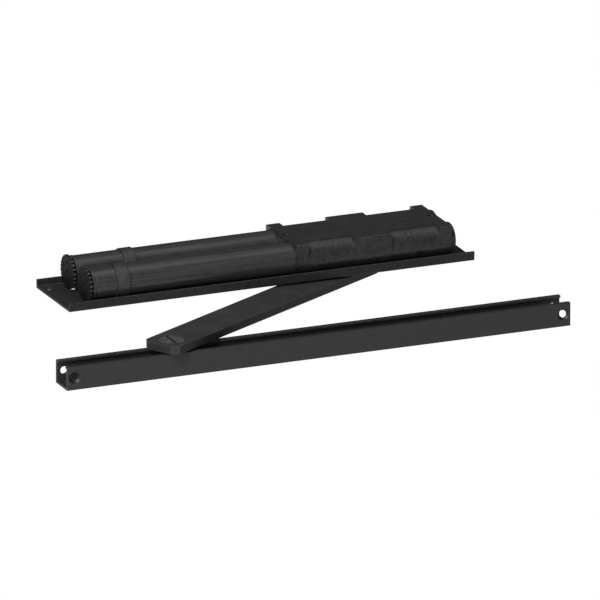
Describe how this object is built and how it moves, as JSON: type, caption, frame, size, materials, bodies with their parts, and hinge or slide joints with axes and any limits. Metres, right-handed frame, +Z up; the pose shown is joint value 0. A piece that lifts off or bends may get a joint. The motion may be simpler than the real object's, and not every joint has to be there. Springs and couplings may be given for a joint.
{
  "type": "overhead concealed door closer",
  "caption": "Concealed overhead door closer: spring tubes and hydraulic casting on a mounting channel, with a lever arm whose roller runs in a door track.",
  "frame": {"origin": "centre of the mounting channel's underside, in the middle of its four mounting holes", "axes": "+X along the channel from the adjusting caps to the end plugs, +Y to the back, away from the track, +Z up, from the underside to the casting's flat top"},
  "size_m": [0.545, 0.2263, 0.0746],
  "materials": {
    "channel_paint": "satin black powder coat on sheet steel",
    "casting_paint": "satin black paint on a slightly rough casting",
    "tube_finish": "satin black finish on drawn steel tube",
    "cap_finish": "matt black finish on machined steel",
    "arm_paint": "satin black powder coat on flat bar",
    "track_paint": "satin black finish on channel section",
    "stud_steel": "blackened steel, worn to grey",
    "dark_screws": "black oxide steel",
    "bright_steel": "oiled machined steel",
    "spring_steel": "oiled spring wire",
    "bearing_bronze": "sintered bronze",
    "seal_rubber": "matt",
    "roller_plastic": "matt black nylon"
  },
  "bodies": {
    "closer": {"mounting_channel": "channel_paint", "housing": "casting_paint", "housing_screws": "dark_screws", "front_spring_tube": "tube_finish", "back_spring_tube": "tube_finish", "front_tube_collar": "tube_finish", "back_tube_collar": "tube_finish", "front_tube_ring": "tube_finish", "back_tube_ring": "tube_finish", "front_tube_bulkhead": "bright_steel", "back_tube_bulkhead": "bright_steel", "front_spring": "spring_steel", "back_spring": "spring_steel", "front_plunger": "bright_steel", "front_plunger_stop": "dark_screws", "back_plunger_stop": "dark_screws", "front_end_plug": "casting_paint", "back_end_plug": "casting_paint", "end_plug_seals": "seal_rubber", "closing_speed_valve": "bright_steel", "latching_speed_valve": "bright_steel", "upper_bearing": "bearing_bronze", "lower_bearing": "bearing_bronze", "bearing_carrier": "dark_screws", "shaft_seal": "seal_rubber"},
    "front_adjuster": {"front_adjusting_cap": "cap_finish", "front_adjusting_screw": "bright_steel"},
    "back_adjuster": {"back_adjusting_cap": "cap_finish", "back_adjusting_screw": "bright_steel"},
    "front_seat": {"front_spring_seat": "bright_steel"},
    "back_seat": {"back_spring_seat": "bright_steel"},
    "front_rack": {"front_piston": "bright_steel", "front_piston_seal": "seal_rubber", "front_check_valve": "bearing_bronze"},
    "back_rack": {"back_piston": "bright_steel", "back_piston_seal": "seal_rubber", "back_check_valve": "bearing_bronze", "back_plunger": "bright_steel"},
    "lever": {"pinion_shaft": "bright_steel", "arm": "arm_paint", "arm_screw": "dark_screws", "roller_stud": "stud_steel", "stud_clip": "bright_steel"},
    "track_guide": {"roller_bush": "bearing_bronze"},
    "track_roller": {"roller": "roller_plastic"},
    "door_track": {"track": "track_paint"}
  },
  "joints": [
    {"name": "arm_swing", "type": "hinge", "parent": "closer", "child": "lever", "pos_m": [0.112, 0, 0], "axis": [0, 0, 1], "range_deg": [-30.3, 90]},
    {"name": "front_piston_slide", "type": "slide", "parent": "closer", "child": "front_rack", "axis": [1, 0, 0], "range_m": [-0.0066, 0.0196]},
    {"name": "back_piston_slide", "type": "slide", "parent": "closer", "child": "back_rack", "axis": [1, 0, 0], "range_m": [-0.0196, 0.0066], "deforming": ["back_spring"]},
    {"name": "front_cap_turn", "type": "hinge", "parent": "closer", "child": "front_adjuster", "pos_m": [-0.194, -0.0217, 0.0202], "axis": [1, 0, 0], "range_deg": [0, 1800]},
    {"name": "back_cap_turn", "type": "hinge", "parent": "closer", "child": "back_adjuster", "pos_m": [-0.194, 0.0217, 0.0202], "axis": [1, 0, 0], "range_deg": [0, 1800]},
    {"name": "front_seat_slide", "type": "slide", "parent": "closer", "child": "front_seat", "axis": [1, 0, 0], "range_m": [0, 0.0101], "deforming": ["front_spring"]},
    {"name": "back_seat_slide", "type": "slide", "parent": "closer", "child": "back_seat", "axis": [1, 0, 0], "range_m": [0, 0.0101], "deforming": ["back_spring"]},
    {"name": "track_pivot", "type": "hinge", "parent": "lever", "child": "track_guide", "pos_m": [-0.15773, -0.15761, -0.024], "axis": [0, 0, 1], "range_deg": [-75, 30.3]},
    {"name": "roller_spin", "type": "hinge", "parent": "track_guide", "child": "track_roller", "pos_m": [-0.15773, -0.15761, -0.024], "axis": [0, 0, 1], "continuous": true},
    {"name": "track_slide", "type": "slide", "parent": "track_guide", "child": "door_track", "axis": [1, 0, 0], "range_m": [-0.4, 0.093]}
  ],
  "couplings": [
    {"joint": "front_piston_slide", "follows": "arm_swing", "m_per_rad": 0.01225},
    {"joint": "back_piston_slide", "follows": "arm_swing", "m_per_rad": -0.01225},
    {"joint": "front_seat_slide", "follows": "front_cap_turn", "m_per_rad": 0.00031831},
    {"joint": "back_seat_slide", "follows": "back_cap_turn", "m_per_rad": 0.00031831}
  ]
}
